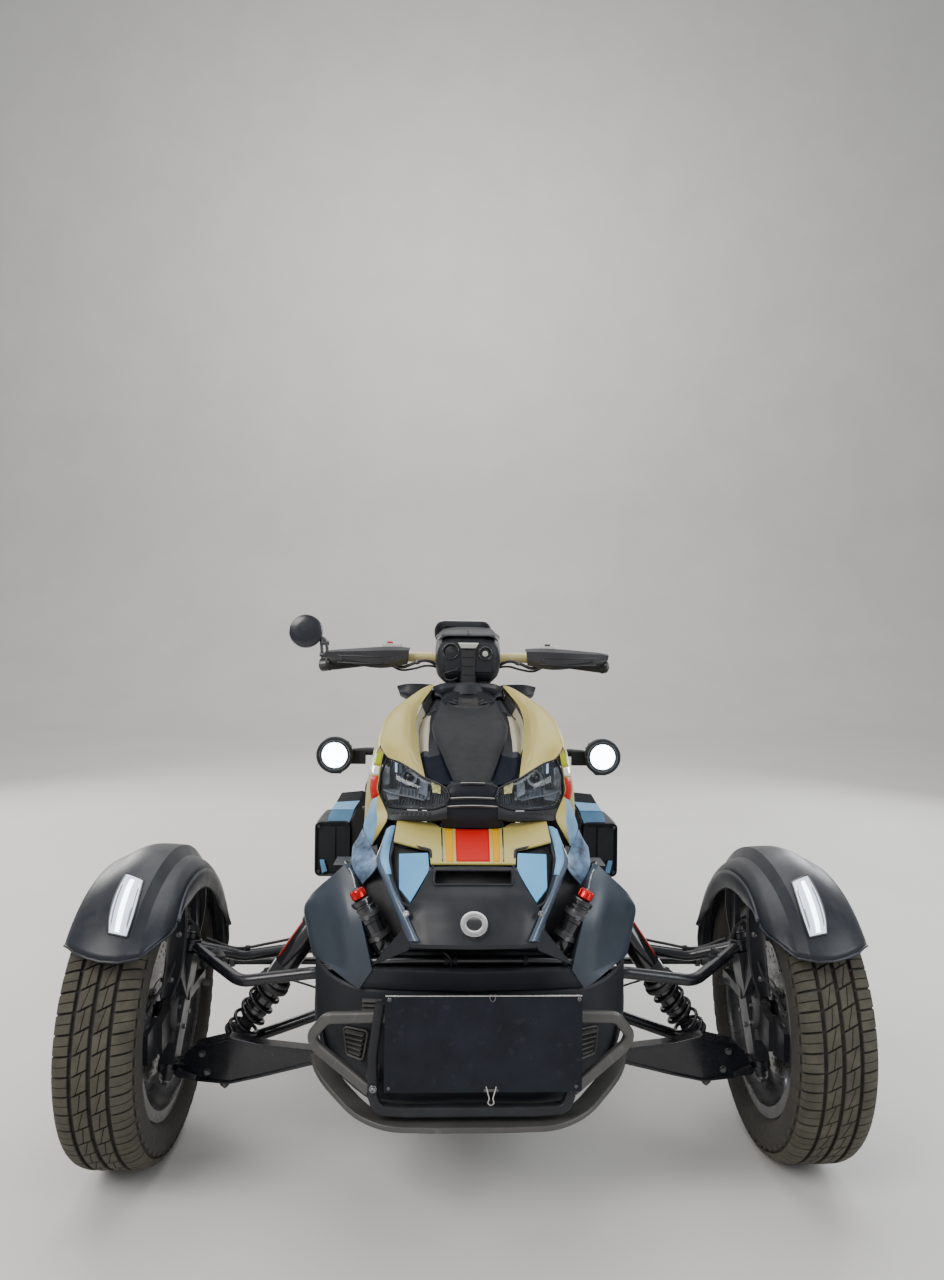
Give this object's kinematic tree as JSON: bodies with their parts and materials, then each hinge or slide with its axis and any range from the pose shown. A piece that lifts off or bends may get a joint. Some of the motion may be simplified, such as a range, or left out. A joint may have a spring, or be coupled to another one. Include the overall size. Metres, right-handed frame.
{
  "type": "motorized trike",
  "caption": "Motor trike with steered front wheels, a driven rear wheel, handlebar, seat, tube bumper and a storage lid behind the nose.",
  "frame": {"origin": "on the ground in the middle of the overall length and width", "axes": "front towards -Y, rider's left towards +X, up +Z"},
  "size_m": [1.509, 2.352, 1.1327],
  "materials": {
    "matte_black": "matte textured black",
    "gloss_black": "glossy black",
    "cream_paint": "pearl cream paint with red and yellow stripes",
    "frame_paint": "satin black powder coat",
    "engine_metal": "cast, dark",
    "tyre_rubber": "dusty tread",
    "rim_black": "satin black",
    "lamp_glass": "clear lens",
    "led_white": "lit lens",
    "arm_steel": "black powder coat",
    "shock_metal": "satin grey with a dark spring",
    "bumper_grey": "satin grey",
    "plate_dark": "blank dark plate",
    "seat_cover": "matte vinyl",
    "grip_rubber": "ribbed",
    "mirror_black": "satin black",
    "exhaust_steel": "dark brushed",
    "red_lens": "clear red"
  },
  "bodies": {
    "chassis": {"upper_arms": "arm_steel", "lower_arms": "arm_steel", "front_shocks": "shock_metal", "main_frame": "frame_paint", "engine_block": "engine_metal", "drive_cover": "matte_black", "skid_plate": "matte_black", "nose_panel": "cream_paint", "front_fascia": "matte_black", "grille": "gloss_black", "front_bumper": "bumper_grey", "display_plate": "plate_dark", "storage_box": "matte_black", "side_panels": "cream_paint", "headlights": "lamp_glass", "centre_mask": "gloss_black", "inner_cowl": "matte_black", "console": "matte_black", "radiators": "gloss_black", "side_lamps": "led_white", "seat": "seat_cover", "rear_arm": "frame_paint", "rear_shock": "shock_metal", "rear_fender": "matte_black", "tail_lamp": "red_lens", "muffler": "exhaust_steel", "footrests": "arm_steel"},
    "knuckle_l": {"knuckle_left": "frame_paint", "fender_left": "matte_black", "fender_lamp_left": "led_white"},
    "knuckle_r": {"knuckle_right": "frame_paint", "fender_right": "matte_black", "fender_lamp_right": "led_white"},
    "wheel_l": {"front_tyre_left": "tyre_rubber", "front_wheel_left": "rim_black"},
    "wheel_r": {"front_tyre_right": "tyre_rubber", "front_wheel_right": "rim_black"},
    "wheel_rear": {"rear_tyre": "tyre_rubber", "rear_wheel": "rim_black"},
    "bars": {"handlebar": "cream_paint", "grips": "grip_rubber", "hand_guards": "bumper_grey", "gauge_pod": "matte_black", "mirror": "mirror_black"},
    "lid": {"storage_lid": "matte_black"},
    "tie_link": {"tie_rods": "arm_steel"}
  },
  "joints": [
    {"name": "steering", "type": "hinge", "parent": "chassis", "child": "bars", "pos_m": [0, -0.453, 0.935], "axis": [0, 0.4226, 0.9063], "range_deg": [-30, 30]},
    {"name": "steer_left", "type": "hinge", "parent": "chassis", "child": "knuckle_l", "pos_m": [0.625, -0.869, 0.176], "axis": [-0.147, 0.0874, 0.9853], "range_deg": [-26, 26]},
    {"name": "steer_right", "type": "hinge", "parent": "chassis", "child": "knuckle_r", "pos_m": [-0.625, -0.869, 0.176], "axis": [0.147, 0.0874, 0.9853], "range_deg": [-26, 26]},
    {"name": "tie_slide", "type": "slide", "parent": "chassis", "child": "tie_link", "axis": [1, 0, 0], "range_m": [-0.05, 0.05]},
    {"name": "spin_left", "type": "hinge", "parent": "knuckle_l", "child": "wheel_l", "pos_m": [0.6795, -0.858, 0.2902], "axis": [1, 0, 0], "continuous": true},
    {"name": "spin_right", "type": "hinge", "parent": "knuckle_r", "child": "wheel_r", "pos_m": [-0.6795, -0.858, 0.2902], "axis": [1, 0, 0], "continuous": true},
    {"name": "spin_rear", "type": "hinge", "parent": "chassis", "child": "wheel_rear", "pos_m": [0, 0.851, 0.2955], "axis": [1, 0, 0], "continuous": true},
    {"name": "lid_hinge", "type": "hinge", "parent": "chassis", "child": "lid", "pos_m": [0, -0.924, 0.764], "axis": [1, 0, 0], "range_deg": [0, 55]}
  ],
  "couplings": [
    {"joint": "steer_left", "follows": "steering", "ratio": 0.85},
    {"joint": "steer_right", "follows": "steering", "ratio": 0.85},
    {"joint": "tie_slide", "follows": "steering", "m_per_rad": -0.0935}
  ]
}
